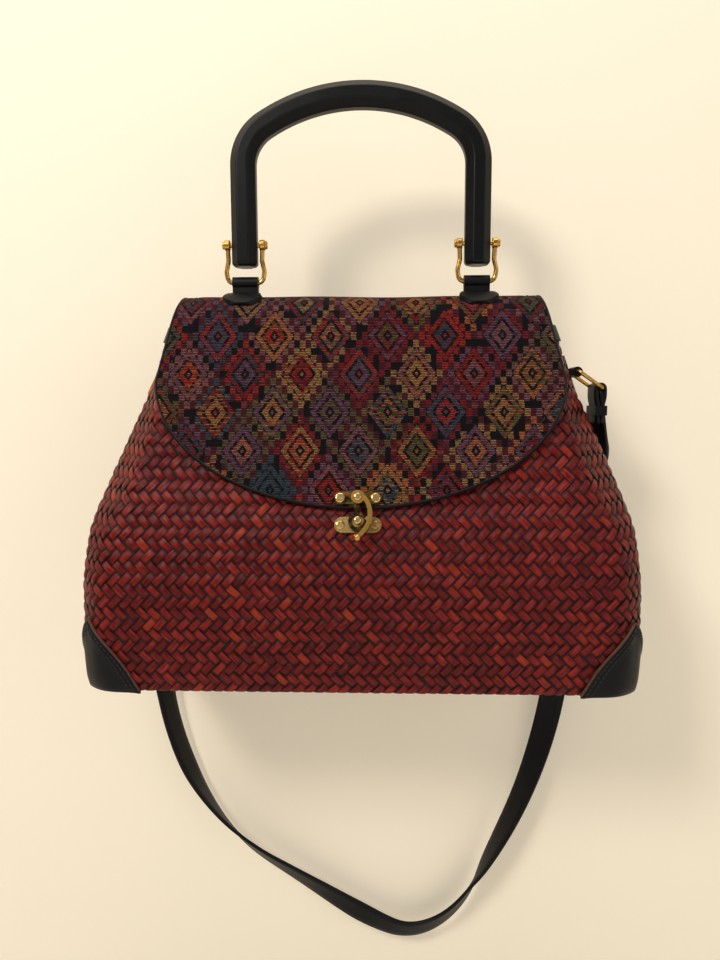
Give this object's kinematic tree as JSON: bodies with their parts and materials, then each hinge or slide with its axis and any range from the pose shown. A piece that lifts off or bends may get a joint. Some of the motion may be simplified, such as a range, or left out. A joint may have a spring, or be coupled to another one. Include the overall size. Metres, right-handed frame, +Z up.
{
  "type": "woven handbag",
  "caption": "Woven handbag with a patterned cloth flap, a rigid arched handle on shackles, a turning clasp, leather corner caps and a hanging shoulder strap.",
  "frame": {"origin": "hang point: middle of the underside of the handle's crown", "axes": "+Z up along the handle, +X to the right seen from the front, the flap and clasp face -Y"},
  "size_m": [0.3342, 0.1366, 0.6194],
  "materials": {
    "dyed_weave": "satin",
    "lining_cloth": "matt",
    "tapestry": "matt",
    "black_horn_wood": "gloss",
    "antique_brass": "aged satin",
    "brass": "polished, a little worn",
    "black_leather": "smooth satin"
  },
  "bodies": {
    "handle": {"handle": "black_horn_wood"},
    "left_shackle": {"left_shackle": "brass", "left_shackle_pin": "brass"},
    "right_shackle": {"right_shackle": "brass", "right_shackle_pin": "brass"},
    "bag": {"woven_body": "dyed_weave", "lining": "lining_cloth", "rim_binding": "black_leather", "flap_ridge": "tapestry", "left_tab": "black_leather", "right_tab": "black_leather", "corner_front_left": "black_leather", "corner_front_right": "black_leather", "corner_rear_left": "black_leather", "corner_rear_right": "black_leather", "clasp_lower_plate": "antique_brass", "clasp_lower_rivets": "antique_brass", "clasp_post": "antique_brass", "left_side_tab": "black_leather", "right_side_tab": "black_leather", "left_strap_ring": "brass", "right_strap_ring": "brass", "left_keeper": "black_leather", "right_keeper": "black_leather", "shoulder_strap": "black_leather"},
    "flap": {"flap_cloth": "tapestry", "flap_backing": "black_leather", "clasp_upper_plate": "antique_brass", "clasp_upper_rivets": "antique_brass", "clasp_pivot_rivet": "antique_brass"},
    "clasp_lever": {"clasp_lever": "antique_brass"}
  },
  "joints": [
    {"name": "left_shackle_swing", "type": "hinge", "parent": "handle", "child": "left_shackle", "pos_m": [-0.0725, 0, -0.0805], "axis": [1, 0, 0], "range_deg": [-40, 75]},
    {"name": "right_shackle_swing", "type": "hinge", "parent": "handle", "child": "right_shackle", "pos_m": [0.0725, 0, -0.0805], "axis": [1, 0, 0], "range_deg": [-40, 75]},
    {"name": "bag_swing", "type": "hinge", "parent": "left_shackle", "child": "bag", "pos_m": [-0.0725, 0, -0.1035], "axis": [1, 0, 0], "range_deg": [-25, 35]},
    {"name": "flap_hinge", "type": "hinge", "parent": "bag", "child": "flap", "pos_m": [0, -0.01923, -0.12138], "axis": [-1, 0, 0], "range_deg": [0, 100]},
    {"name": "clasp_turn", "type": "hinge", "parent": "flap", "child": "clasp_lever", "pos_m": [0, -0.05426, -0.233], "axis": [0, -0.9308, 0.3657], "range_deg": [0, 70]}
  ],
  "couplings": [
    {"joint": "right_shackle_swing", "follows": "left_shackle_swing", "ratio": 1}
  ]
}
